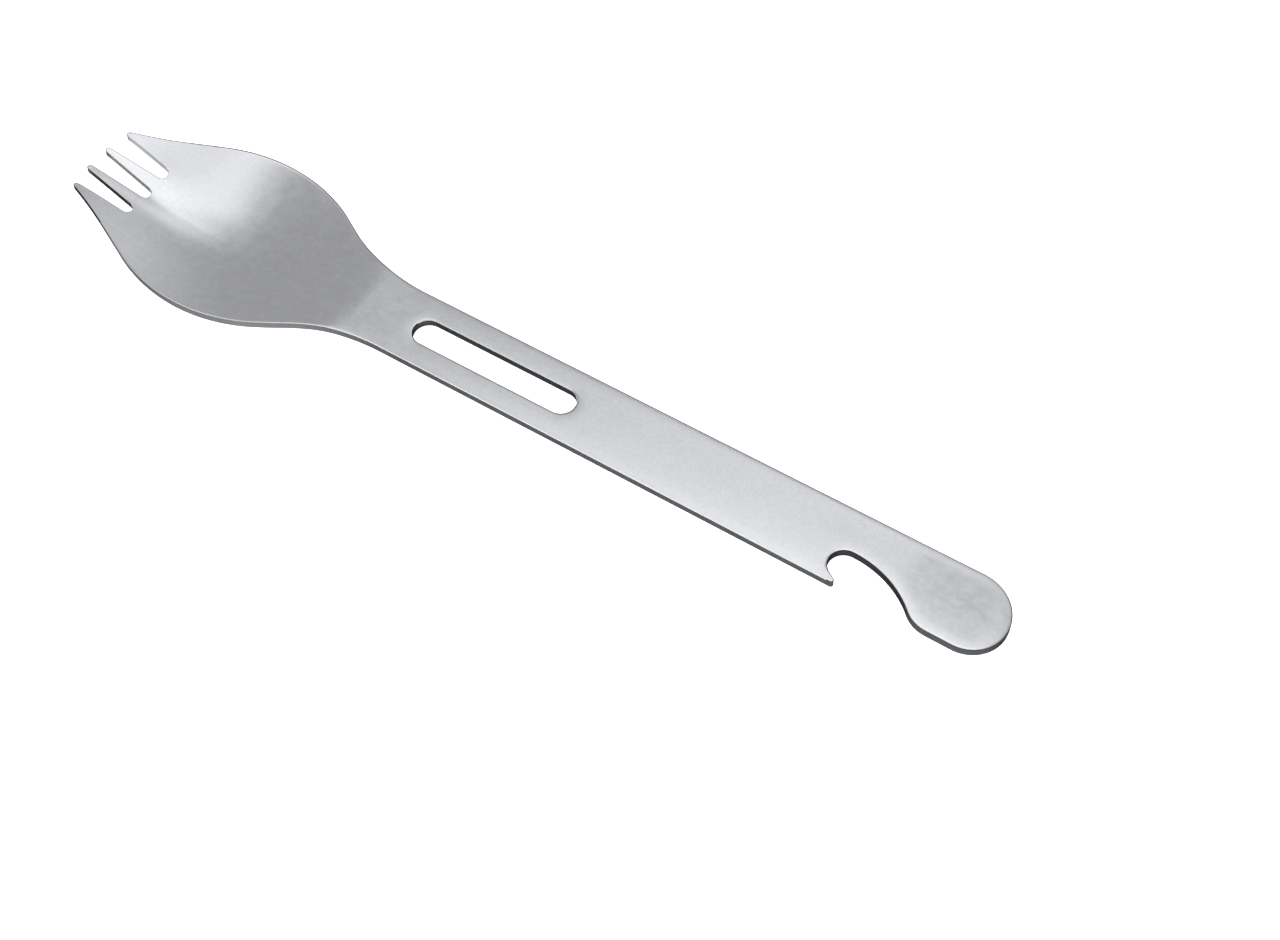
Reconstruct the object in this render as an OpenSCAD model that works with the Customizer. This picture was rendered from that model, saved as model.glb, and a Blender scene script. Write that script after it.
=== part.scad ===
// Spork stamped and pressed from one stainless steel sheet: a bowl with four tines, a flat handle
// with a hanging slot, a bottle-opener notch and a round end.
// Millimetres. X runs from the tines to the handle end, Y across, Z up. The finished part stands with
// the middle of its overall box at X = 0, Y = 0 and its lowest point at Z = 0. Up to that last move the
// slot centre is at X = 0, Y = 0 and the top face of the flat handle is at Z = 0.

/* [Sheet] */
// Length from the inner tine tips to the round handle end
overall_len = 199.1; // [185:0.1:215]
// Thickness of the steel sheet
sheet_t = 1.5; // [1:0.1:2.2]
// Thickness of the tines, which are rolled thinner
tine_t = 1.05; // [0.7:0.05:2.2]

/* [Handle] */
// Distance from the slot centre to the round handle end
slot_to_end = 105.1; // [95:0.1:120]
// Width of the handle at the neck
neck_w = 15.2; // [13:0.1:18]
// Width of the handle at its round end
end_w = 15.6; // [13:0.1:20]
// Distance that the foremost point of the round end lies off the centre line, on the notch side
end_skew = 0.9; // [0:0.1:2.5]

/* [Hanging slot] */
// Length of the slot over its round ends
slot_len = 35.2; // [12:0.1:38]
// Width of the slot
slot_w = 5.8; // [4.2:0.1:8]

/* [Opener notch] */
// Distance from the handle end to the back of the notch pocket
pocket_to_end = 32.7; // [28:0.1:40]
// Depth of the notch from the near handle edge
notch_depth = 7.3; // [6:0.1:9]
// Radius of the upper pocket corner
pocket_r = 3; // [2.5:0.1:4.5]
// Radius of the lower pocket corner behind the beak
heel_r = 3; // [1:0.1:3.2]
// Slope of the upper beak edge in degrees
beak_angle = 33; // [25:1:45]
// Radius of the beak tip
beak_r = 0.5; // [0.3:0.05:0.8]
// Radius of the long sweep that leads out of the pocket
sweep_r = 19; // [14:0.5:26]
// Radius of the corner where the sweep meets the handle edge
corner_r = 6.5; // [1:0.1:8]

/* [Bowl outline] */
// Distance from the slot centre to the widest place of the bowl
bowl_to_slot = 60.6; // [55:0.1:66]
// Width of the bowl at its widest place
bowl_w = 38.9; // [32:0.1:44]
// Radius of the bowl sides
side_r = 32.6; // [27:0.1:45]
// Angle of the outline in front of the bowl sides
front_angle = 25.5; // [22:0.5:30]
// Angle of the shoulders that lead to the neck
shoulder_angle = 29.8; // [26:0.2:36]
// Radius of the hollow between shoulder and handle
neck_r = 40; // [20:0.5:48]
// Length of the outer tine edge that is hollowed
hollow_len = 11; // [6:0.5:14]
// Radius of that hollow
hollow_r = 100; // [60:1:200]

/* [Tines] */
// Length of the inner tines from gap root to tip
tine_len = 12.4; // [10:0.1:16]
// Distance that the outer tips stay behind the inner tips
outer_back = 1.1; // [0:0.1:3]
// Width of the gaps at their round roots
gap_w = 2.4; // [1.6:0.1:3]
// Width of the inner tines at the gap roots
inner_w = 3; // [2.2:0.1:3.6]
// Width of the inner tine tips
inner_tip_w = 1.3; // [0.8:0.1:2]
// Width of the outer tine tips
outer_tip_w = 1.2; // [0.8:0.1:2]

/* [Pressing] */
// Distance from the slot centre to the line where the pressing starts
press_to_slot = 30.4; // [26:0.1:34]
// Length of the bend behind that line
bend_len = 3.6; // [2:0.1:6]
// Slope of the bowl floor behind the bend
heel_slope = 0.21; // [0.1:0.01:0.45]
// Depth of the bowl floor below the handle face
bowl_depth = 4.8; // [3.5:0.1:8]
// Distance that the deepest place of the bowl stays behind its widest place
deep_back = 0; // [-3:0.1:6]
// Power of the curve across the bowl: 2 is a parabola, less is more pointed along the middle
bowl_curve = 1.75; // [1.6:0.05:2.6]
// Depth of the bowl floor at the gap roots
root_depth = 1.6; // [0.5:0.1:3]
// Height of the inner tine tips above the handle face
tip_rise = 1.9; // [0:0.1:3]
// Dip of the shoulder rim below the handle face
rim_dip = 0.85; // [0:0.05:1.5]
// Distance from the press line to that dip
dip_len = 12; // [8:0.5:16]
// Height of the rim beside the gap roots
rim_front = 1.6; // [0.5:0.1:3]
// Height of the rim line at the tine tips
rim_tip = 2.4; // [0.5:0.1:4]

/* [Hidden] */
steel = [0.74, 0.75, 0.76];
eps = 0.01;

// Handle: the round end is a wide arc on the far side and a tighter one on the notch side
far_r = end_w / 2 + end_skew;
near_r = end_w / 2 - end_skew;

// Outline stations: front hollow, front line, bowl side, shoulder line, neck hollow, handle
tip_x = slot_to_end - overall_len;
outer_x = tip_x + outer_back;
side_x = -bowl_to_slot;
side_y = bowl_w / 2;
front_x = side_x - side_r * sin(front_angle);
front_y = side_y - side_r * (1 - cos(front_angle));
hollow_x = outer_x + hollow_len;
hollow_y = front_y - (front_x - hollow_x) * tan(front_angle);
shoulder_x = side_x + side_r * sin(shoulder_angle);
shoulder_y = side_y - side_r * (1 - cos(shoulder_angle));
hollow2_y = neck_w / 2 + neck_r * (1 - cos(shoulder_angle));
hollow2_x = shoulder_x + (shoulder_y - hollow2_y) / tan(shoulder_angle);
neck_x = hollow2_x + neck_r * sin(shoulder_angle);
// The flat handle reaches a little way into the flat part of the pressed piece
lap_x = neck_x - 2 * sheet_t;

// Half width of the outline at x, from the tine tips to the handle
function hollow_sin(x) = sin(front_angle) - (hollow_x - x) / hollow_r;
function half_w(x) =
    x < hollow_x ? hollow_y - hollow_r * (sqrt(1 - pow(hollow_sin(x), 2)) - cos(front_angle))
    : x < front_x ? front_y - (front_x - x) * tan(front_angle)
    : x < shoulder_x ? side_y - side_r + sqrt(side_r * side_r - pow(x - side_x, 2))
    : x < hollow2_x ? shoulder_y - (x - shoulder_x) * tan(shoulder_angle)
    : x < neck_x ? neck_w / 2 + neck_r - sqrt(neck_r * neck_r - pow(neck_x - x, 2))
    : neck_w / 2;

// Tines: round gap roots and tips, seen from above
gap_r = gap_w / 2;
root_x = tip_x + tine_len - gap_r;
inner_y = gap_r + inner_w / 2;
gap_y = gap_w + inner_w;
inner_tip_r = inner_tip_w / 2;
outer_tip_r = outer_tip_w / 2;
inner_tip_x = tip_x + inner_tip_r;
outer_tip_x = outer_x + outer_tip_r;
outer_y = half_w(outer_tip_x) - outer_tip_r;

// Pressed surface: centre line and rim line are smooth curves along X, joined across by a power curve
function ease(t, z0, z1, m0, m1) =
    (2 * t * t * t - 3 * t * t + 1) * z0 + (t * t * t - 2 * t * t + t) * m0
    + (3 * t * t - 2 * t * t * t) * z1 + (t * t * t - t * t) * m1;
press_x = -press_to_slot;
bend_x = press_x - bend_len;
deep_x = side_x + deep_back;
dip_x = press_x - dip_len;
tine_slope = (tip_rise + root_depth) / (root_x - tip_x);
rim_slope = (rim_tip - rim_front) / (root_x - tip_x);
rim_mid = (rim_front + rim_dip) / (dip_x - root_x);
function floor_z(x) =
    x > press_x ? 0
    : x > bend_x ? -heel_slope * pow(press_x - x, 2) / (2 * bend_len)
    : x > deep_x ? ease((bend_x - x) / (bend_x - deep_x), -heel_slope * bend_len / 2, -bowl_depth,
                        -heel_slope * (bend_x - deep_x), 0)
    : x > root_x ? ease((deep_x - x) / (deep_x - root_x), -bowl_depth, -root_depth,
                        0, tine_slope * (deep_x - root_x))
    : -root_depth + tine_slope * (root_x - x);
function rim_z(x) =
    x > press_x ? 0
    : x > dip_x ? ease((press_x - x) / (press_x - dip_x), 0, -rim_dip, 0, 0)
    : x > root_x ? ease((dip_x - x) / (dip_x - root_x), -rim_dip, rim_front,
                        0.4 * rim_mid * (dip_x - root_x), 0.9 * rim_mid * (dip_x - root_x))
    : ease((root_x - x) / (root_x - tip_x), rim_front, rim_tip,
           0.9 * rim_mid * (root_x - tip_x), rim_slope * (root_x - tip_x) / 2);
function press_z(x, y) = floor_z(x) + (rim_z(x) - floor_z(x)) * pow(abs(y) / half_w(x), bowl_curve);
// Thickness of the sheet at x, thinning from the deepest place of the bowl to the tines
function sheet_at(x) = sheet_t + (tine_t - sheet_t) * min(1, max(0, (deep_x - x) / (deep_x - root_x)));
// Height of the sheet measured straight down: its edge is trimmed upright after the pressing
function press_fall(x, y) =
    let (dx = (press_z(x + eps, y) - press_z(x - eps, y)) / (2 * eps),
         dy = (press_z(x, y + eps) - press_z(x, y - eps)) / (2 * eps))
    sheet_at(x) * norm([dx, dy, 1]);

// Grid across: outer tine, gap, inner tine, gap, inner tine, gap, outer tine
outer_n = 6;
gap_n = 6;
inner_n = 4;
tine_from = [0, outer_n + gap_n, outer_n + 2 * gap_n + inner_n, outer_n + 3 * gap_n + 2 * inner_n];
tine_to = [outer_n, outer_n + gap_n + inner_n, outer_n + 2 * gap_n + 2 * inner_n,
           2 * outer_n + 3 * gap_n + 2 * inner_n];
col_n = tine_to[3];
row_n = 30;
tine_n = 12;

// Edges of each tine at x, near one first
function inner_half(x) =
    x > inner_tip_x ? inner_tip_r + (inner_w / 2 - inner_tip_r) * (x - inner_tip_x) / (root_x - inner_tip_x)
    : sqrt(max(0, inner_tip_r * inner_tip_r - pow(inner_tip_x - x, 2)));
function outer_in(x) =
    x > outer_tip_x ? outer_y - outer_tip_r
        + (gap_y + gap_r - outer_y + outer_tip_r) * (x - outer_tip_x) / (root_x - outer_tip_x)
    : outer_y - sqrt(max(0, outer_tip_r * outer_tip_r - pow(outer_tip_x - x, 2)));
function outer_out(x) =
    x > outer_tip_x ? half_w(x)
    : outer_y + sqrt(max(0, outer_tip_r * outer_tip_r - pow(outer_tip_x - x, 2)));
function tine_near(k, x) =
    k == 0 ? -outer_out(x)
    : k == 1 ? -inner_y - inner_half(x)
    : k == 2 ? inner_y - inner_half(x)
    : outer_in(x);
function tine_far(k, x) =
    k == 0 ? -outer_in(x)
    : k == 1 ? -inner_y + inner_half(x)
    : k == 2 ? inner_y + inner_half(x)
    : outer_out(x);

// Rows along a tine: even steps to the tip circle, then round the tip
function tip_r_of(k) = k == 0 || k == 3 ? outer_tip_r : inner_tip_r;
function tip_x_of(k) = k == 0 || k == 3 ? outer_tip_x : inner_tip_x;
function tine_row_x(k, n) =
    n <= tine_n - 4 ? root_x + (tip_x_of(k) - root_x) * n / (tine_n - 4)
    : tip_x_of(k) - tip_r_of(k) * sin(20 * (n - tine_n + 4));

// Root row: tine columns lie on the line through the root circles, gap columns on the circles
function in_tine(j, k) = j >= tine_from[k] && j <= tine_to[k];
function tine_of(j) = in_tine(j, 0) ? 0 : in_tine(j, 1) ? 1 : in_tine(j, 2) ? 2 : in_tine(j, 3) ? 3 : -1;
function gap_of(j) = j < tine_from[1] ? 0 : j < tine_from[2] ? 1 : 2;
function gap_turn(j) = 180 * (j - tine_to[gap_of(j)]) / gap_n;
function root_y(j) =
    let (k = tine_of(j))
    k >= 0 ? tine_near(k, root_x)
        + (tine_far(k, root_x) - tine_near(k, root_x)) * (j - tine_from[k]) / (tine_to[k] - tine_from[k])
    : (gap_of(j) - 1) * gap_y - gap_r * cos(gap_turn(j));
function root_bulge(j) = tine_of(j) >= 0 ? 0 : gap_r * sin(gap_turn(j));

// Rows of the bowl, from the neck to the gap roots; the last few follow the round roots
function bowl_point(i, j) =
    let (t = i / row_n,
         x0 = neck_x + (root_x - neck_x) * t,
         x = x0 + root_bulge(j) * pow(t, 6),
         y = root_y(j) / half_w(root_x) * half_w(i == row_n ? root_x : x))
    [x, y, press_z(x, y)];
function tine_point(k, n, j) =
    let (x = tine_row_x(k, n),
         u = (j - tine_from[k]) / (tine_to[k] - tine_from[k]),
         y = tine_near(k, x) + (tine_far(k, x) - tine_near(k, x)) * u)
    [x, y, press_z(x, y)];

// Points of the upper face and their numbers
tine_size = [for (k = [0:3]) tine_n * (tine_to[k] - tine_from[k] + 1)];
bowl_size = (row_n + 1) * (col_n + 1);
tine_start = [bowl_size, bowl_size + tine_size[0], bowl_size + tine_size[0] + tine_size[1],
              bowl_size + tine_size[0] + tine_size[1] + tine_size[2]];
top_points = concat(
    [for (i = [0:row_n]) for (j = [0:col_n]) bowl_point(i, j)],
    [for (k = [0:3]) for (n = [1:tine_n]) for (j = [tine_from[k]:tine_to[k]]) tine_point(k, n, j)]);
low_points = [for (p = top_points) p - [0, 0, press_fall(p[0], p[1])]];
face_size = len(top_points);
middle_x = (min([for (p = low_points) p[0]]) + slot_to_end) / 2;
lowest_z = min([for (p = low_points) p[2]]);
function bowl_at(i, j) = i * (col_n + 1) + j;
function tine_at(k, n, j) =
    n == 0 ? bowl_at(row_n, j)
    : tine_start[k] + (n - 1) * (tine_to[k] - tine_from[k] + 1) + j - tine_from[k];

// Triangles: upper face, lower face, and the cut edge all round
cells = concat(
    [for (i = [0:row_n - 1]) for (j = [0:col_n - 1])
        [bowl_at(i, j), bowl_at(i, j + 1), bowl_at(i + 1, j + 1), bowl_at(i + 1, j)]],
    [for (k = [0:3]) for (n = [0:tine_n - 1]) for (j = [tine_from[k]:tine_to[k] - 1])
        [tine_at(k, n, j), tine_at(k, n, j + 1), tine_at(k, n + 1, j + 1), tine_at(k, n + 1, j)]]);
rim_edges = concat(
    [for (j = [0:col_n - 1]) [bowl_at(0, j), bowl_at(0, j + 1)]],
    [for (i = [0:row_n - 1]) [bowl_at(i, col_n), bowl_at(i + 1, col_n)]],
    [for (i = [0:row_n - 1]) [bowl_at(i + 1, 0), bowl_at(i, 0)]],
    [for (k = [0:2]) for (j = [tine_to[k]:tine_from[k + 1] - 1])
        [bowl_at(row_n, j + 1), bowl_at(row_n, j)]],
    [for (k = [0:3]) for (n = [0:tine_n - 1])
        [tine_at(k, n, tine_to[k]), tine_at(k, n + 1, tine_to[k])]],
    [for (k = [0:3]) for (n = [0:tine_n - 1])
        [tine_at(k, n + 1, tine_from[k]), tine_at(k, n, tine_from[k])]],
    [for (k = [0:3]) for (j = [tine_from[k]:tine_to[k] - 1])
        [tine_at(k, tine_n, j + 1), tine_at(k, tine_n, j)]]);
triangles = concat(
    [for (c = cells) [c[0], c[2], c[1]]],
    [for (c = cells) [c[0], c[3], c[2]]],
    [for (c = cells) [c[0] + face_size, c[1] + face_size, c[2] + face_size]],
    [for (c = cells) [c[0] + face_size, c[2] + face_size, c[3] + face_size]],
    [for (e = rim_edges) [e[0], e[1], e[0] + face_size]],
    [for (e = rim_edges) [e[0] + face_size, e[1], e[1] + face_size]]);

// Notch: beak tip, corner, sweep, pocket and the hollow behind the beak, each arc tangent to the next
edge_y = -(neck_w + (end_w - neck_w) * 0.8) / 2;
top_y = edge_y + notch_depth;
pocket_x = slot_to_end - pocket_to_end;
arc_x = pocket_x + pocket_r;
arc_y = top_y - pocket_r;
sweep_y = top_y - sweep_r;
beak_x = pocket_x + heel_r * (1 - sin(beak_angle));
beak_y = arc_y - heel_r * cos(beak_angle);
beak_cy = edge_y + beak_r;
beak_cx = beak_x + (beak_y - beak_cy - beak_r / cos(beak_angle)) / tan(beak_angle);
corner_cy = edge_y + corner_r;
corner_cx = arc_x + sqrt(pow(sweep_r + corner_r, 2) - pow(corner_cy - sweep_y, 2));
sweep_turn = atan2(corner_cy - sweep_y, corner_cx - arc_x);
function arc(cx, cy, r, from, to, n) =
    [for (i = [0:n]) let (a = from + (to - from) * i / n) [cx + r * cos(a), cy + r * sin(a)]];
beak_points = arc(beak_cx, beak_cy, beak_r, 90 - beak_angle, -60, 10);
corner_points = arc(corner_cx, corner_cy, corner_r, 255, 180 + sweep_turn, 8);
sweep_points = arc(arc_x, sweep_y, sweep_r, sweep_turn, 90, 26);
pocket_points = arc(arc_x, arc_y, pocket_r, 90, 180, 18);
heel_points = arc(pocket_x + heel_r, arc_y, heel_r, 180, 270 - beak_angle, 10);
// Straight leads that carry the first and last arc out past the handle edge
beak_lead = beak_points[10] + 2.4 * beak_r * [-cos(30), -sin(30)];
corner_lead = corner_points[0] + 0.6 * corner_r * [cos(15), -sin(15)];
past_y = edge_y - sheet_t;
end_points = concat(
    arc(slot_to_end - near_r, -end_skew, near_r, -90, 0, 24),
    [for (i = [1:30]) arc(slot_to_end - far_r, -end_skew, far_r, 0, 90, 30)[i]]);

module notch_outline() {
    polygon(concat(
        beak_points,
        [beak_lead, [beak_lead[0], past_y], [corner_lead[0], past_y], corner_lead],
        corner_points,
        [for (i = [1:26]) sweep_points[i]],
        [for (i = [1:18]) pocket_points[i]],
        [for (i = [1:10]) heel_points[i]]));
}

module slot_outline() {
    straight = slot_len - slot_w;
    translate([-straight / 2, -slot_w / 2]) square([straight, slot_w]);
    translate([-straight / 2, 0]) circle(d = slot_w, $fn = 64);
    translate([straight / 2, 0]) circle(d = slot_w, $fn = 64);
}

module handle() {
    translate([0, 0, -sheet_t]) linear_extrude(height = sheet_t) difference() {
        polygon(concat([[lap_x, -neck_w / 2], [neck_x, -neck_w / 2]], end_points,
                       [[neck_x, neck_w / 2], [lap_x, neck_w / 2]]));
        slot_outline();
        notch_outline();
    }
}

module bowl() {
    polyhedron(points = concat(top_points, low_points), faces = triangles, convexity = 6);
}

module spork() {
    color(steel) translate([-middle_x, 0, -lowest_z]) union() {
        handle();
        bowl();
    }
}

spork();
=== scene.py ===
import math

import bpy
import numpy as np
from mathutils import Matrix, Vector
from mathutils.geometry import delaunay_2d_cdt


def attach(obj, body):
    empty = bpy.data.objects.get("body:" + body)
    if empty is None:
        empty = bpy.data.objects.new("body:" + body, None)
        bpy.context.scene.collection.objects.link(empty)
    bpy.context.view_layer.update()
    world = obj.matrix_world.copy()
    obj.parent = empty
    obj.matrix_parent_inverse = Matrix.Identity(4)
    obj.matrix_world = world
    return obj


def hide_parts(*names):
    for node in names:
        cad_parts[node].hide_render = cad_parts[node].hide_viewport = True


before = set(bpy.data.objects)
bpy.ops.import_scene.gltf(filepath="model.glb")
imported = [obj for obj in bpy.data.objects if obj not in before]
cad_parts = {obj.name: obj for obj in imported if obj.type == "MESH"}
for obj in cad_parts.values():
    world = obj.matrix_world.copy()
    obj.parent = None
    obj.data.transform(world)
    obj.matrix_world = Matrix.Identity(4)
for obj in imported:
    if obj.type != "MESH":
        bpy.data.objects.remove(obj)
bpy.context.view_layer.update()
scene = bpy.context.scene
scene.view_settings.view_transform = "Standard"

# Sizes of the part in millimetres, as in its source. The slot centre is at X = 0, Y = 0 and the top face of
# the flat handle at Z = 0, until the finished mesh is moved to the frame's origin and scaled to metres.
OVERALL_LEN, SHEET_T, TINE_T = 199.1, 1.5, 1.05
SLOT_TO_END, NECK_W, END_W, END_SKEW = 105.1, 15.2, 15.6, 0.9
SLOT_LEN, SLOT_W = 35.2, 5.8
POCKET_TO_END, NOTCH_DEPTH, POCKET_R, HEEL_R = 32.7, 7.3, 3.0, 3.0
BEAK_ANGLE, BEAK_R, SWEEP_R, CORNER_R = 33.0, 0.5, 19.0, 6.5
BOWL_TO_SLOT, BOWL_W, SIDE_R = 60.6, 38.9, 32.6
FRONT_ANGLE, SHOULDER_ANGLE = math.radians(25.5), math.radians(29.8)
NECK_R, HOLLOW_LEN, HOLLOW_R = 40.0, 11.0, 100.0
TINE_LEN, OUTER_BACK, GAP_W = 12.4, 1.1, 2.4
INNER_W, INNER_TIP_W, OUTER_TIP_W = 3.0, 1.3, 1.2
PRESS_TO_SLOT, BEND_LEN, HEEL_SLOPE = 30.4, 3.6, 0.21
BOWL_DEPTH, DEEP_BACK, BOWL_CURVE = 4.8, 0.0, 1.75
ROOT_DEPTH, TIP_RISE = 1.6, 1.9
RIM_DIP, DIP_LEN, RIM_FRONT, RIM_TIP = 0.85, 12.0, 1.6, 2.4
# Slopes of the rim at its dip and at the tine roots, as shares of its mean slope
DIP_SHARE, ROOT_SHARE = 0.4, 0.9
# Share of the handle's widening that is reached at the notch
NOTCH_SHARE = 0.8
# The frame's origin: past the slot centre towards the handle end, and below the handle's top face
MIDDLE_X, HANDLE_TOP = 5.55494, 6.29509
MM_PER_M = 1000
# The press line is eased over a longer bend than in the solid
SOFT_BEND = 3.4

# Outline stations
far_r, near_r = END_W / 2 + END_SKEW, END_W / 2 - END_SKEW
far_x, near_x = SLOT_TO_END - far_r, SLOT_TO_END - near_r
tip_x = SLOT_TO_END - OVERALL_LEN
outer_x = tip_x + OUTER_BACK
side_x, side_y = -BOWL_TO_SLOT, BOWL_W / 2
front_x = side_x - SIDE_R * math.sin(FRONT_ANGLE)
front_y = side_y - SIDE_R * (1 - math.cos(FRONT_ANGLE))
hollow_x = outer_x + HOLLOW_LEN
hollow_y = front_y - (front_x - hollow_x) * math.tan(FRONT_ANGLE)
shoulder_x = side_x + SIDE_R * math.sin(SHOULDER_ANGLE)
shoulder_y = side_y - SIDE_R * (1 - math.cos(SHOULDER_ANGLE))
hollow2_y = NECK_W / 2 + NECK_R * (1 - math.cos(SHOULDER_ANGLE))
hollow2_x = shoulder_x + (shoulder_y - hollow2_y) / math.tan(SHOULDER_ANGLE)
neck_x = hollow2_x + NECK_R * math.sin(SHOULDER_ANGLE)


def half_w(x):
    """Half width of the bowl outline at x."""
    x = np.asarray(x, float)
    turn = math.sin(FRONT_ANGLE) - (hollow_x - x) / HOLLOW_R
    return np.select(
        [x < hollow_x, x < front_x, x < shoulder_x, x < hollow2_x, x < neck_x],
        [
            hollow_y - HOLLOW_R * (np.sqrt(np.maximum(0, 1 - turn**2)) - math.cos(FRONT_ANGLE)),
            front_y - (front_x - x) * math.tan(FRONT_ANGLE),
            side_y - SIDE_R + np.sqrt(np.maximum(0, SIDE_R**2 - (x - side_x) ** 2)),
            shoulder_y - (x - shoulder_x) * math.tan(SHOULDER_ANGLE),
            NECK_W / 2 + NECK_R - np.sqrt(np.maximum(0, NECK_R**2 - (neck_x - x) ** 2)),
        ],
        NECK_W / 2,
    )


# Tines
gap_r = GAP_W / 2
root_x = tip_x + TINE_LEN - gap_r
inner_y = gap_r + INNER_W / 2
gap_y = GAP_W + INNER_W
inner_r, outer_r = INNER_TIP_W / 2, OUTER_TIP_W / 2
inner_tip_x, outer_tip_x = tip_x + inner_r, outer_x + outer_r

# Pressed surface: a centre line and a rim line along X, joined across by a power curve
press_x = -PRESS_TO_SLOT
soft_x, soft_len = press_x + SOFT_BEND / 2, BEND_LEN + SOFT_BEND
bend_x = soft_x - soft_len
deep_x = side_x + DEEP_BACK
dip_x = press_x - DIP_LEN
tine_slope = (TIP_RISE + ROOT_DEPTH) / (root_x - tip_x)
rim_slope = (RIM_TIP - RIM_FRONT) / (root_x - tip_x)
rim_mid = (RIM_FRONT + RIM_DIP) / (dip_x - root_x)


def ease(t, z0, z1, m0, m1):
    """Cubic from z0 to z1 with slopes m0 and m1 at its ends, for t from 0 to 1."""
    return ((2 * t**3 - 3 * t**2 + 1) * z0 + (t**3 - 2 * t**2 + t) * m0
            + (3 * t**2 - 2 * t**3) * z1 + (t**3 - t**2) * m1)


def floor_z(x):
    """Height of the centre line."""
    heel, front = bend_x - deep_x, deep_x - root_x
    return np.select(
        [x > soft_x, x > bend_x, x > deep_x, x > root_x],
        [
            0 * x,
            -HEEL_SLOPE * (soft_x - x) ** 2 / (2 * soft_len),
            ease((bend_x - x) / heel, -HEEL_SLOPE * soft_len / 2, -BOWL_DEPTH, -HEEL_SLOPE * heel, 0),
            ease((deep_x - x) / front, -BOWL_DEPTH, -ROOT_DEPTH, 0, tine_slope * front),
        ],
        -ROOT_DEPTH + tine_slope * (root_x - x),
    )


def rim_z(x):
    """Height of the rim line."""
    side, tine = dip_x - root_x, root_x - tip_x
    return np.select(
        [x > press_x, x > dip_x, x > root_x],
        [
            0 * x,
            ease((press_x - x) / DIP_LEN, 0, -RIM_DIP, 0, 0),
            ease((dip_x - x) / side, -RIM_DIP, RIM_FRONT,
                 DIP_SHARE * rim_mid * side, ROOT_SHARE * rim_mid * side),
        ],
        ease((root_x - x) / tine, RIM_FRONT, RIM_TIP, ROOT_SHARE * rim_mid * tine, rim_slope * tine / 2),
    )


def top_z(x, y):
    return floor_z(x) + (rim_z(x) - floor_z(x)) * (np.abs(y) / half_w(x)) ** BOWL_CURVE


def slopes(surface, x, y, step=0.02):
    return ((surface(x + step, y) - surface(x - step, y)) / (2 * step),
            (surface(x, y + step) - surface(x, y - step)) / (2 * step))


def rise(value, length):
    """Share of a length that a value has covered, from 0 to 1."""
    return np.clip(value / length, 0, 1)


def low_z(x, y):
    dx, dy = slopes(top_z, x, y)
    thick = SHEET_T + (TINE_T - SHEET_T) * rise(deep_x - x, deep_x - root_x)
    return top_z(x, y) - thick * np.sqrt(dx**2 + dy**2 + 1)


def unit(vectors):
    return vectors / np.linalg.norm(vectors, axis=1, keepdims=True)


def normals_of(surface, x, y):
    dx, dy = slopes(surface, x, y)
    return unit(np.stack([-dx, -dy, np.ones_like(dx)], 1))


# Spacing of the outline's points: along its lines in millimetres, round its arcs in degrees
SIDE_STEP, HANDLE_STEP, BEAK_STEP, TINE_STEP = 0.5, 0.7, 0.3, 0.4
NOTCH_ARC, SWEEP_ARC, END_ARC, SLOT_ARC, SMALL_ARC, TIP_ARC = 6, 2, 3, 5, 9, 10


# Outline, seen from above: one loop round the sheet with the metal on its left, one round the slot
def arc(cx, cy, r, start, end, step):
    n = max(3, int(math.ceil(abs(end - start) / step)))
    a = np.radians(np.linspace(start, end, n + 1))
    return np.stack([cx + r * np.cos(a), cy + r * np.sin(a)], 1)


def line(a, b, step):
    n = max(1, int(math.ceil(math.dist(a, b) / step)))
    t = np.linspace(0, 1, n + 1)[:, None]
    return np.array(a) * (1 - t) + np.array(b) * t


def side(x0, x1, sign):
    n = int(math.ceil(abs(x1 - x0) / SIDE_STEP))
    x = np.linspace(x0, x1, n + 1)
    return np.stack([x, sign * half_w(x)], 1)


edge_y = -(NECK_W + (END_W - NECK_W) * NOTCH_SHARE) / 2
notch_y = edge_y + NOTCH_DEPTH
pocket_x = SLOT_TO_END - POCKET_TO_END
arc_x, arc_y, sweep_y = pocket_x + POCKET_R, notch_y - POCKET_R, notch_y - SWEEP_R
beak_a = math.radians(BEAK_ANGLE)
beak_x = pocket_x + HEEL_R * (1 - math.sin(beak_a))
beak_y = arc_y - HEEL_R * math.cos(beak_a)
beak_cy = edge_y + BEAK_R
beak_cx = beak_x + (beak_y - beak_cy - BEAK_R / math.cos(beak_a)) / math.tan(beak_a)
beak_end = (beak_cx + BEAK_R * math.sin(beak_a), beak_cy + BEAK_R * math.cos(beak_a))
corner_cy = edge_y + CORNER_R
corner_cx = arc_x + math.sqrt((SWEEP_R + CORNER_R) ** 2 - (corner_cy - sweep_y) ** 2)
sweep_turn = math.degrees(math.atan2(corner_cy - sweep_y, corner_cx - arc_x))

# Tips: each arc starts and ends in line with the tine's two edges
NEXT_TO = 0.1
outer_step = half_w(outer_tip_x + NEXT_TO) - half_w(outer_tip_x - NEXT_TO)
outer_lean = math.degrees(math.atan(outer_step / (2 * NEXT_TO)))
outer_y = float(half_w(outer_tip_x)) - outer_r / math.cos(math.radians(outer_lean))
in_lean = math.degrees(math.atan2(gap_y + gap_r - outer_y + outer_r, root_x - outer_tip_x))
inner_lean = math.degrees(math.atan2(INNER_W / 2 - inner_r, root_x - inner_tip_x))
outer_end_x = outer_tip_x - outer_r * math.sin(math.radians(outer_lean))

# Width of the worn edge on the upper face: full on the bowl, handle and notch, small on beak and tines
WIDE, SLOT_WIDE, SMALL = 1.3, 1.1, 0.38
# It grows from just behind the tines along the bowl, and from the beak along the handle
TINE_OFF, TINE_GROW, BEAK_GROW = 1, 8, 4
# Closest points kept on a loop, and how the widths are evened out: passes, and slack in each
LEAST_GAP, EVEN_PASSES, EVEN_SLACK = 0.02, 6, 0.004


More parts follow.
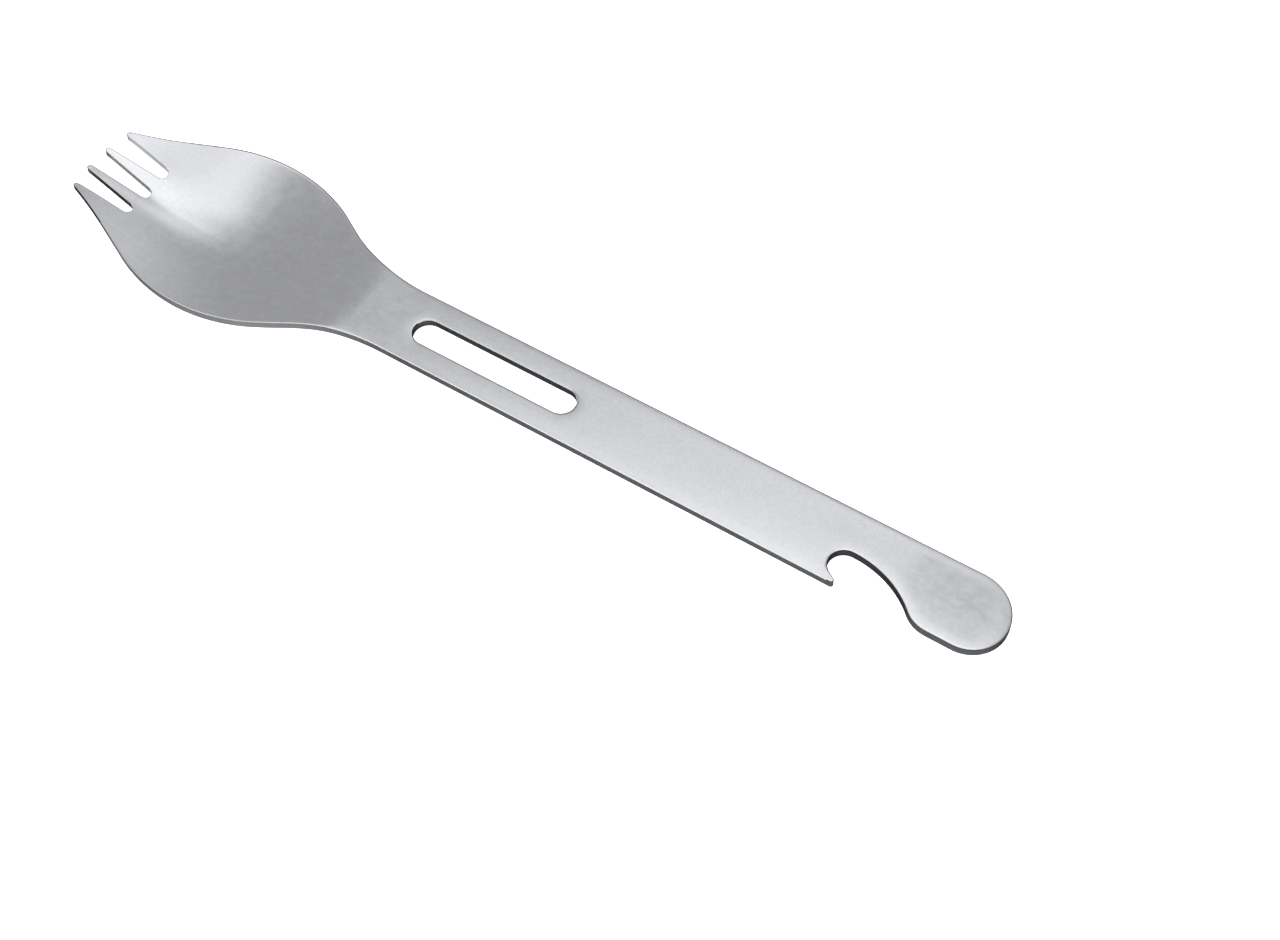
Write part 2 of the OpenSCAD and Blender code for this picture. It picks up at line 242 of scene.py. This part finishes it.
def beak_gap(points):
    """Distance in plan from the beak's tip."""
    return np.hypot(points[:, 0] - beak_cx, points[:, 1] - beak_cy)


def outline():
    """Points of the loop round the sheet, and the width of the worn edge at each."""
    parts = [
        ("side", side(outer_end_x, neck_x, -1)),
        ("handle", line((neck_x, -NECK_W / 2), (beak_cx, edge_y), HANDLE_STEP)),
        ("beak", arc(beak_cx, beak_cy, BEAK_R, -90, 90 - BEAK_ANGLE, SMALL_ARC)),
        ("beak", line(beak_end, (beak_x, beak_y), BEAK_STEP)),
        ("notch", arc(pocket_x + HEEL_R, arc_y, HEEL_R, 270 - BEAK_ANGLE, 180, NOTCH_ARC)),
        ("notch", arc(arc_x, arc_y, POCKET_R, 180, 90, NOTCH_ARC)),
        ("notch", arc(arc_x, sweep_y, SWEEP_R, 90, sweep_turn, SWEEP_ARC)),
        ("notch", arc(corner_cx, corner_cy, CORNER_R, 180 + sweep_turn, 270, NOTCH_ARC)),
        ("handle", line((corner_cx, edge_y), (near_x, -END_W / 2), HANDLE_STEP)),
        ("handle", arc(near_x, -END_SKEW, near_r, -90, 0, END_ARC)),
        ("handle", arc(far_x, -END_SKEW, far_r, 0, 90, END_ARC)),
        ("handle", line((far_x, END_W / 2), (neck_x, NECK_W / 2), HANDLE_STEP)),
        ("side", side(neck_x, outer_end_x, 1)),
    ]
    # Tips from the far tine to the near one: centre, radius, and where each arc starts and ends
    tips = [
        (outer_tip_x, outer_y, outer_r, 90 + outer_lean, 270 + in_lean),
        (inner_tip_x, inner_y, inner_r, 90 + inner_lean, 270 - inner_lean),
        (inner_tip_x, -inner_y, inner_r, 90 + inner_lean, 270 - inner_lean),
        (outer_tip_x, -outer_y, outer_r, 90 - in_lean, 270 - outer_lean),
    ]
    parts.append(("tine", arc(*tips[0], TIP_ARC)))
    for gap, before, after in zip((gap_y, 0.0, -gap_y), tips[:-1], tips[1:]):
        start = (before[0], before[1] - before[2])
        end = (after[0], after[1] + after[2])
        parts += [
            ("tine", line(start, (root_x, gap + gap_r), TINE_STEP)),
            ("tine", arc(root_x, gap, gap_r, 90, -90, SMALL_ARC)),
            ("tine", line((root_x, gap - gap_r), end, TINE_STEP)),
            ("tine", arc(*after, TIP_ARC)),
        ]
    widths = []
    for name, points in parts:
        width = np.full(len(points), WIDE if name == "notch" else SMALL)
        if name == "side":
            width = SMALL + (WIDE - SMALL) * rise(points[:, 0] - root_x - TINE_OFF, TINE_GROW)
        if name == "handle":
            width = SMALL + (WIDE - SMALL) * rise(beak_gap(points), BEAK_GROW)
        widths.append(width)
    return even_loop(np.concatenate([points for _, points in parts]), np.concatenate(widths))


def even_loop(points, widths):
    """Drops doubled points where two parts of the loop meet and evens out the widths along it."""
    keep = np.hypot(*(points - np.roll(points, 1, 0)).T) > LEAST_GAP
    points, widths = points[keep], widths[keep]
    for _ in range(EVEN_PASSES):
        mean = (np.roll(widths, 1) + 2 * widths + np.roll(widths, -1)) / 4
        widths = np.minimum(widths, mean + EVEN_SLACK)
    return points, widths


def slot_loop():
    half = SLOT_LEN / 2 - SLOT_W / 2
    r = SLOT_W / 2
    points = np.concatenate([
        line((half, -r), (-half, -r), HANDLE_STEP),
        arc(-half, 0, r, 270, 90, SLOT_ARC),
        line((-half, r), (half, r), HANDLE_STEP),
        arc(half, 0, r, 90, -90, SLOT_ARC),
    ])
    return even_loop(points, np.full(len(points), SLOT_WIDE))


def outward(points):
    """Directions in plan that point out of the metal, which lies left of the loop."""
    along = unit(np.roll(points, -1, 0) - points)
    along = unit(along + np.roll(along, 1, 0))
    return np.stack([along[:, 1], -along[:, 0]], 1)


# Wear of the tumbled upper face, too slight for its outline and so kept in the shading. At the edges it
# slopes, which dies away over a width and spares the tines and the beak.
EDGE_TILT, TILT_W = 0.05, 2.4
BEAK_OFF, CALM_LEN = 2, 6
# The handle is crowned: slope at its half width, and the length over which this starts at the press line
CROWN, CROWN_HALF, CROWN_START = 0.038, 7.8, 12
# The round end leans: slope, where it starts and ends, and the length over which it fades at both
LEAN, LEAN_FROM, LEAN_TO, LEAN_FADE = 0.045, 82, 105, 6
# Points measured at one time, to save memory, and the least distance that is divided by
BLOCK, TINY = 800, 1e-6


def edge_tilt(points, loops):
    """Slope of the tumbled face towards the nearest edge at each point."""
    a = np.concatenate(loops)
    b = np.concatenate([np.roll(loop, -1, 0) for loop in loops])
    along, tilt = b - a, []
    for start in range(0, len(points), BLOCK):
        p = points[start:start + BLOCK]
        t = np.einsum("ijk,jk->ij", p[:, None] - a[None], along) / np.sum(along**2, 1)
        away = a[None] + np.clip(t, 0, 1)[:, :, None] * along[None] - p[:, None]
        far = np.linalg.norm(away, axis=2)
        rows, best = np.arange(len(p)), far.argmin(1)
        near, away = far[rows, best], away[rows, best]
        calm = rise(p[:, 0] - root_x - TINE_OFF, CALM_LEN) * rise(beak_gap(p) - BEAK_OFF, CALM_LEN)
        left = np.clip(1 - near / TILT_W, 0, 1)
        tilt.append(away / np.maximum(near, TINY)[:, None] * (EDGE_TILT * calm * left)[:, None])
    return np.concatenate(tilt)


def smooth(t):
    return t**2 * (3 - 2 * t)


def tumbled(points, edges):
    """Height and normal of the upper face."""
    x, y = points.T
    n = normals_of(top_z, x, y)
    flat = rise(x - press_x, CROWN_START)
    lean = rise(x - LEAN_FROM, LEAN_FADE) * rise(LEAN_TO - x, LEAN_FADE)
    n[:, :2] += edge_tilt(points, edges) * n[:, 2:]
    n[:, 0] += LEAN * smooth(lean)
    n[:, 1] += CROWN * smooth(flat) * y / CROWN_HALF
    return top_z(x, y), unit(n)


def pressed_low(points):
    """Height and upward normal of the lower face."""
    x, y = points.T
    return low_z(x, y), normals_of(low_z, x, y)


# Areas of the face that are filled with points: start and end along X, half width, spacing
FILL = (
    (-95, root_x + 2, 13, 0.45),
    (root_x + 2, press_x + 2, 20, 0.7),
    (press_x + 2, 105.2, 8.2, 0.9),
)
# Those points keep off the loops by a share of their spacing, or of the most spacing that counts
KEEP_OFF, MOST_STEP = 0.6, 0.8
# Points closer than this become one
MERGE = 1e-5


def inside(points, loop):
    """Which points lie inside a closed loop."""
    found = np.zeros(len(points), bool)
    for (ax, ay), (bx, by) in zip(loop, np.roll(loop, -1, 0)):
        crosses = (ay > points[:, 1]) != (by > points[:, 1])
        with np.errstate(divide="ignore", invalid="ignore"):
            at = ax + (points[:, 1] - ay) * (bx - ax) / (by - ay)
        found ^= crosses & (points[:, 0] < at)
    return found


def grid(x0, x1, y1, step):
    x = np.arange(x0, x1, step)
    y = np.arange(-y1, y1 + step / 2, step)
    return np.stack(np.meshgrid(x, y, indexing="ij"), -1).reshape(-1, 2)


def face_plan(inset_loops):
    """Plan of one face of the sheet: points, triangles, and where each loop's points are among them."""
    rim, slot = inset_loops
    loops = np.concatenate(inset_loops)
    fill = []
    for x0, x1, y1, step in FILL:
        p = grid(x0, x1, y1, step)
        p = p[inside(p, rim) & ~inside(p, slot)]
        gap = np.min(np.hypot(p[:, None, 0] - loops[None, :, 0], p[:, None, 1] - loops[None, :, 1]), axis=1)
        fill.append(p[gap > KEEP_OFF * min(step, MOST_STEP)])
    points = np.concatenate([loops] + fill)
    edges, start, places = [], 0, []
    for loop in inset_loops:
        ids = np.arange(start, start + len(loop))
        places.append(ids)
        edges += list(zip(ids.tolist(), np.roll(ids, -1).tolist()))
        start += len(loop)
    verts, _, cells, origins, _, _ = delaunay_2d_cdt([Vector(p) for p in points], edges, [], 0, MERGE)
    plan = np.array([[v.x, v.y] for v in verts])
    tris = np.array([list(cell) for cell in cells if len(cell) == 3])
    centre = plan[tris].mean(1)
    tris = tris[inside(centre, rim) & ~inside(centre, slot)]
    a, b, c = plan[tris[:, 0]], plan[tris[:, 1]], plan[tris[:, 2]]
    turned = (b[:, 0] - a[:, 0]) * (c[:, 1] - a[:, 1]) - (b[:, 1] - a[:, 1]) * (c[:, 0] - a[:, 0]) < 0
    tris[turned] = tris[turned][:, ::-1]
    now_at = {old: new for new, olds in enumerate(origins) for old in olds}
    return plan, tris, [np.array([now_at[i] for i in ids]) for ids in places]


# Rings between a face and the cut edge, as shares of the worn width
TOP_RINGS = (0.25, 0.45, 0.60, 0.70, 0.78, 0.85, 0.91, 0.96, 1.0)
LOW_RINGS = (1.0, 0.96, 0.91, 0.85, 0.5)
ALL_RINGS = (0.0,) + TOP_RINGS + LOW_RINGS + (0.0,)
WALL = len(TOP_RINGS)
# The outermost part turns over to the cut edge: its width, the most of the worn width that it takes, and
# how far it drops on the upper and the lower face
TURN_W, TURN_MOST, TOP_DROP, LOW_DROP = 0.195, 0.4, 0.06, 0.02
# Extra slope beside it on the upper face, and the share of the worn width over which this builds up
SHOULDER, SHOULDER_PART = 0.28, 0.45
# How far inside the edge the surface is read for the outermost ring
READ_IN = 1e-4
# The painted highlight, the satin material on the near edges' turn-over, stops this far before the beak and
# the pocket, is on edges that face the near side by this much, and near the pocket stays this close to the
# handle's edge
HIGHLIGHT_STOP, NEAR_FACING, HIGHLIGHT_BAND = 1, -0.2, 0.3


def cut_faces(points, out, share, ring):
    """Which faces beyond a ring show cut metal: the wall and the turn-over. On the near edges from the bowl
    to the beak the turn-over takes the satin material instead, as a painted highlight."""
    x, y = points.T
    cut = 1 - (ALL_RINGS[ring] + ALL_RINGS[ring + 1]) / 2 < share
    near_highlight = (x > root_x) & (x < beak_cx - HIGHLIGHT_STOP) & (out[:, 1] < NEAR_FACING) & (ring < WALL)
    near_highlight &= (x < pocket_x - HIGHLIGHT_STOP) | (y < edge_y + HIGHLIGHT_BAND)
    return cut & ~near_highlight


def sheet_mesh(name):
    """The whole sheet: two faces, and rings of faces round each edge from the upper one to the lower one."""
    loops = [outline(), slot_loop()]
    edges = [points for points, _ in loops]
    outs = [outward(points) for points in edges]
    plan, tris, places = face_plan([p - n * w[:, None] for (p, w), n in zip(loops, outs)])
    count = len(plan)
    (top, top_n), (low, low_n) = tumbled(plan, edges), pressed_low(plan)
    coords = [np.column_stack([plan, top]), np.column_stack([plan, low])]
    normals = [top_n, -low_n]
    faces = tris.tolist() + (tris[:, ::-1] + count).tolist()
    kinds = [0] * len(faces)
    sides = (
        (1, lambda p: tumbled(p, edges), TOP_RINGS, TOP_DROP),
        (-1, pressed_low, LOW_RINGS, LOW_DROP),
    )
    total = 2 * count
    for (points, width), out, ids in zip(loops, outs, places):
        rings = [ids]
        share = np.minimum(TURN_W / width, TURN_MOST)
        flat_out = np.column_stack([out, np.zeros(len(out))])
        for sign, surface, steps, drop in sides:
            for q in steps:
                p = points - out * (width * (1 - q))[:, None]
                z, n = surface(p if q < 1 else p - out * READ_IN)
                if sign > 0:
                    n[:, :2] += out * (SHOULDER * max(0.0, 1 - (1 - q) / SHOULDER_PART))
                turn = math.pi / 2 * np.maximum(0, 1 - (1 - q) / share)
                z = z - sign * drop * (1 - np.cos(turn))
                n = sign * n * np.cos(turn)[:, None] + flat_out * np.sin(turn)[:, None]
                coords.append(np.column_stack([p, z]))
                normals.append(unit(n))
                rings.append(np.arange(total, total + len(p)))
                total += len(p)
        rings.append(ids + count)
        for r, (a, b) in enumerate(zip(rings[:-1], rings[1:])):
            faces += np.column_stack([a, b, np.roll(b, -1), np.roll(a, -1)]).tolist()
            kinds += cut_faces(points, out, share, r).astype(int).tolist()
    coords = (np.concatenate(coords) + np.array([-MIDDLE_X, 0, HANDLE_TOP])) / MM_PER_M
    mesh = bpy.data.meshes.new(name)
    mesh.from_pydata(coords.tolist(), [], faces)
    mesh.polygons.foreach_set("material_index", kinds)
    mesh.polygons.foreach_set("use_smooth", [True] * len(faces))
    mesh.update()
    mesh.normals_split_custom_set_from_vertices(np.concatenate(normals).tolist())
    return mesh


# Materials
class Nodes:
    """Short names for making and joining the nodes of a material or of the world."""

    def __init__(self, tree):
        self.tree = tree
        tree.nodes.clear()

    def add(self, kind, settings=None, **inputs):
        node = self.tree.nodes.new(kind)
        for key, value in (settings or {}).items():
            setattr(node, key, value)
        for key, value in inputs.items():
            self.put(node, key.replace("_", " "), value)
        return node

    def put(self, node, socket, value):
        """Links or sets an input, which is given by name or number."""
        if isinstance(value, bpy.types.NodeSocket):
            self.tree.links.new(value, node.inputs[socket])
        else:
            node.inputs[socket].default_value = value

    def math(self, what, a, b=0.0):
        node = self.add("ShaderNodeMath", {"operation": what})
        self.put(node, 0, a)
        self.put(node, 1, b)
        return node.outputs[0]

    def product(self, value, *others):
        for other in others:
            value = self.math("MULTIPLY", value, other)
        return value

    def total(self, value, *others):
        for other in others:
            value = self.math("ADD", value, other)
        return value

    def fade(self, value, marks, levels):
        """Eases from the first level to the second while the value goes from the first mark to the second."""
        return self.add("ShaderNodeMapRange", {"interpolation_type": "SMOOTHSTEP"}, Value=value,
                        From_Min=marks[0], From_Max=marks[1], To_Min=levels[0], To_Max=levels[1]).outputs[0]

    def noise(self, place, stretch, detail=3.0, rough=0.6):
        spread = self.add("ShaderNodeMapping", Vector=place, Scale=stretch)
        node = self.add("ShaderNodeTexNoise", {"noise_dimensions": "3D"}, Vector=spread.outputs[0],
                        Scale=1.0, Detail=detail, Roughness=rough)
        return node.outputs["Fac"]

    def ramp(self, factor, *stops):
        node = self.add("ShaderNodeValToRGB", Fac=factor)
        for element, (position, color) in zip(node.color_ramp.elements, stops):
            element.position = position
            element.color = color
        return node.outputs["Color"]

    def surface(self, **inputs):
        shader = self.add("ShaderNodeBsdfPrincipled", **inputs)
        self.add("ShaderNodeOutputMaterial", Surface=shader.outputs["BSDF"])


def new_material(name):
    mat = bpy.data.materials.new(name)
    mat.use_nodes = True
    return mat, Nodes(mat.node_tree)


def satin_steel():
    """The tumbled faces: a fine grain along the part, with mottled tone and gloss."""
    mat, n = new_material("satin_steel")
    place = n.add("ShaderNodeTexCoord").outputs["Object"]
    grain = n.noise(place, (260.0, 3000.0, 260.0), 2.0)
    mottle = n.noise(place, (420.0, 520.0, 420.0))
    cloud = n.noise(place, (60.0, 60.0, 60.0))
    speck = n.noise(place, (1500.0, 1500.0, 1500.0))
    tone = n.total(n.product(mottle, 0.35), n.product(cloud, 0.25), n.product(speck, 0.4))
    color = n.ramp(tone, (0.30, (0.595, 0.600, 0.615, 1)), (0.70, (0.695, 0.700, 0.717, 1)))
    rough = n.total(n.product(grain, 0.06), n.product(cloud, 0.06), n.product(mottle, 0.10), 0.13)
    bump = n.add("ShaderNodeBump", Strength=0.12, Distance=0.00003, Height=grain)
    n.surface(Base_Color=color, Metallic=1.0, Roughness=rough, Normal=bump.outputs["Normal"])
    return mat


# Places between which the painted light and shade of the cut edges change, in metres from the frame's origin:
# along the part, then across it
TIPS, ROOTS = (-0.0990, -0.0970), (-0.088, -0.082)
BOWL_FRONT, BOWL_BACK = (-0.092, -0.078), (-0.050, -0.020)
SLOT_FRONT, NOTCH_BACK = (-0.040, -0.025), (0.085, 0.090)
GAP_WALLS, OUTER_WALL, INNER_EDGES = (-0.004, 0.0068), (0.0076, 0.0086), (0.0045, 0.0070)
# How much paler with painted light or darker with painted shade it gets, as a share of the tone
BOWL_RIM_LIGHT, GAP_SHADE, GAP_LIGHT, INNER_SHADE = 0.8, -0.45, 3.0, 0.5
STARTS, ENDS = (0.0, 1.0), (1.0, 0.0)


def cut_steel():
    """The cut edges, sheared, in a dark tone that is partly the rough sheared metal and partly painted shade.
    """
    mat, n = new_material("cut_steel_edge")
    place = n.add("ShaderNodeTexCoord").outputs["Object"]
    shear = n.noise(place, (3600.0, 3600.0, 260.0))
    cloud = n.noise(place, (160.0, 160.0, 160.0))
    tone = n.total(n.product(shear, 0.6), n.product(cloud, 0.4))
    # Dark tone of the walls: partly the sheared metal, partly painted shade that keeps them dark beside the
    # bright floor
    color = n.ramp(tone, (0.25, (0.075, 0.076, 0.079, 1)), (0.75, (0.120, 0.121, 0.125, 1)))
    spot = n.add("ShaderNodeSeparateXYZ", Vector=place).outputs
    x, y = spot["X"], spot["Y"]
    # Painted light: the cut walls round the bowl's rim are paler, so the painted shade is weaker there
    pale = n.product(n.fade(x, BOWL_BACK, (BOWL_RIM_LIGHT, 0.0)), n.fade(x, BOWL_FRONT, STARTS))
    # Painted shade: the inner walls of slot and notch, in their recesses, are darker still
    recess_shade = n.product(n.fade(x, SLOT_FRONT, STARTS), n.fade(x, NOTCH_BACK, ENDS),
                     n.fade(n.math("ABSOLUTE", y), INNER_EDGES, (INNER_SHADE, 0.0)))
    # Painted shade and painted light on the walls between the tines: darkest on the near side, paler on the
    # far side, up to the dark tips
    tines = n.product(n.fade(x, TIPS, STARTS), n.fade(x, ROOTS, ENDS),
                      n.fade(y, GAP_WALLS, (GAP_SHADE, GAP_LIGHT)), n.fade(y, OUTER_WALL, ENDS))
    factor = n.math("SUBTRACT", n.total(pale, tines, 1.0), recess_shade)
    tint = n.add("ShaderNodeVectorMath", {"operation": "SCALE"}, Scale=factor)
    n.put(tint, 0, color)
    rough = n.total(n.product(shear, 0.2), 0.32)
    bump = n.add("ShaderNodeBump", Strength=0.35, Distance=0.00004, Height=shear)
    n.surface(Base_Color=tint.outputs["Vector"], Metallic=1.0, Specular_Tint=(0.25, 0.25, 0.26, 1),
              Roughness=rough, Normal=bump.outputs["Normal"])
    return mat


spork_mesh = sheet_mesh("spork_sheet")
spork_mesh.materials.append(satin_steel())
spork_mesh.materials.append(cut_steel())
spork = bpy.data.objects.new("spork_sheet", spork_mesh)
scene.collection.objects.link(spork)
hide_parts("spork")
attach(spork, "root")

# Floor: a wide pale table that glows a little, as a light table does, so that it stays white under the part.
# It lies just below the part, so that no faces coincide.
FLOOR_GLOW, FLOOR_HALF, FLOOR_Z = 0.95, 8, -0.0004


def floor_material():
    mat, n = new_material("pale_floor")
    n.surface(Base_Color=(0.85, 0.85, 0.85, 1), Roughness=0.9, Emission_Color=(1, 1, 1, 1),
              Emission_Strength=FLOOR_GLOW)
    return mat


floor_mesh = bpy.data.meshes.new("floor")
floor_corners = [(x * FLOOR_HALF, y * FLOOR_HALF, 0) for x, y in ((-1, -1), (1, -1), (1, 1), (-1, 1))]
floor_mesh.from_pydata(floor_corners, [], [(0, 1, 2, 3)])
floor_mesh.materials.append(floor_material())
floor = bpy.data.objects.new("floor", floor_mesh)
scene.collection.objects.link(floor)
floor.location.z = FLOOR_Z

# Studio: an even dome, four soft panels overhead and three broad glows low around the part. A panel is a
# rectangle on a level plane above, given by its edges (at height 1) and how softly each one fades.
DOME = 0.474
PANELS = (
    # turn, brightness, then left, right, near and far edge
    (0.373, 1.046, (-0.382, 0.060), (-0.005, 0.869), (-0.645, 1.103), (0.400, 0.280)),
    (0.282, 1.540, (-0.350, 0.090), (0.0, 0.088), (0.470, 0.120), (0.597, 0.709)),
    (0.228, 1.490, (-0.311, 0.394), (0.142, 0.089), (0.800, 0.050), (0.904, 0.156)),
    (-0.896, 0.873, (-0.490, 0.287), (-0.006, 0.061), (0.010, 0.392), (0.280, 0.123)),
)
GLOWS = (
    # direction, reach in degrees, brightness
    ((0.308, 1.0, 0.201), 56.066, 0.418),
    ((-0.35, -0.80, 0.45), 40.0, 1.3),
    ((0.75, -0.62, 0.22), 50.0, 0.36),
)
LOWEST_Z = 0.03
STUDIO_TINT = (0.985, 0.99, 1.0, 1)


def studio():
    world = bpy.data.worlds.new("studio")
    world.use_nodes = True
    scene.world = world
    n = Nodes(world.node_tree)
    toward = n.add("ShaderNodeTexCoord").outputs["Generated"]
    xyz = n.add("ShaderNodeSeparateXYZ", Vector=toward).outputs
    up = n.math("MAXIMUM", xyz["Z"], LOWEST_Z)
    u, v = n.math("DIVIDE", xyz["X"], up), n.math("DIVIDE", xyz["Y"], up)
    light = DOME
    for turn, bright, left, right, near, far in PANELS:
        c, s = math.cos(turn), math.sin(turn)
        across = n.total(n.product(u, c), n.product(v, s))
        along = n.math("SUBTRACT", n.product(v, c), n.product(u, s))
        panel = bright
        for place, (edge, soft), levels in ((across, left, STARTS), (across, right, ENDS),
                                            (along, near, STARTS), (along, far, ENDS)):
            panel = n.product(n.fade(place, (edge - soft / 2, edge + soft / 2), levels), panel)
        light = n.total(light, panel)
    for axis, reach, bright in GLOWS:
        dot = n.add("ShaderNodeVectorMath", {"operation": "DOT_PRODUCT"})
        n.put(dot, 0, toward)
        n.put(dot, 1, Vector(axis).normalized())
        marks = (math.cos(math.radians(reach)), 1.0)
        light = n.total(light, n.fade(dot.outputs["Value"], marks, (0.0, bright)))
    back = n.add("ShaderNodeBackground", Color=STUDIO_TINT, Strength=light)
    n.add("ShaderNodeOutputWorld", Surface=back.outputs["Background"])


studio()

# Camera at the photograph's viewing angle
CAMERA_AT, CAMERA_TOWARD = (0.150696, -0.195871, 0.32205), (-0.31224, 0.49082, -0.8134)
LENS, SENSOR_W, NEAREST, FARTHEST = 61.875, 36.0, 0.01, 60.0

cam_data = bpy.data.cameras.new("camera")
cam_data.sensor_fit = "HORIZONTAL"
cam_data.sensor_width = SENSOR_W
cam_data.lens = LENS
cam_data.clip_start, cam_data.clip_end = NEAREST, FARTHEST
camera = bpy.data.objects.new("camera", cam_data)
scene.collection.objects.link(camera)
camera.location = CAMERA_AT
camera.rotation_mode = "QUATERNION"
camera.rotation_quaternion = Vector(CAMERA_TOWARD).to_track_quat("-Z", "Y")
scene.camera = camera

bpy.context.view_layer.update()
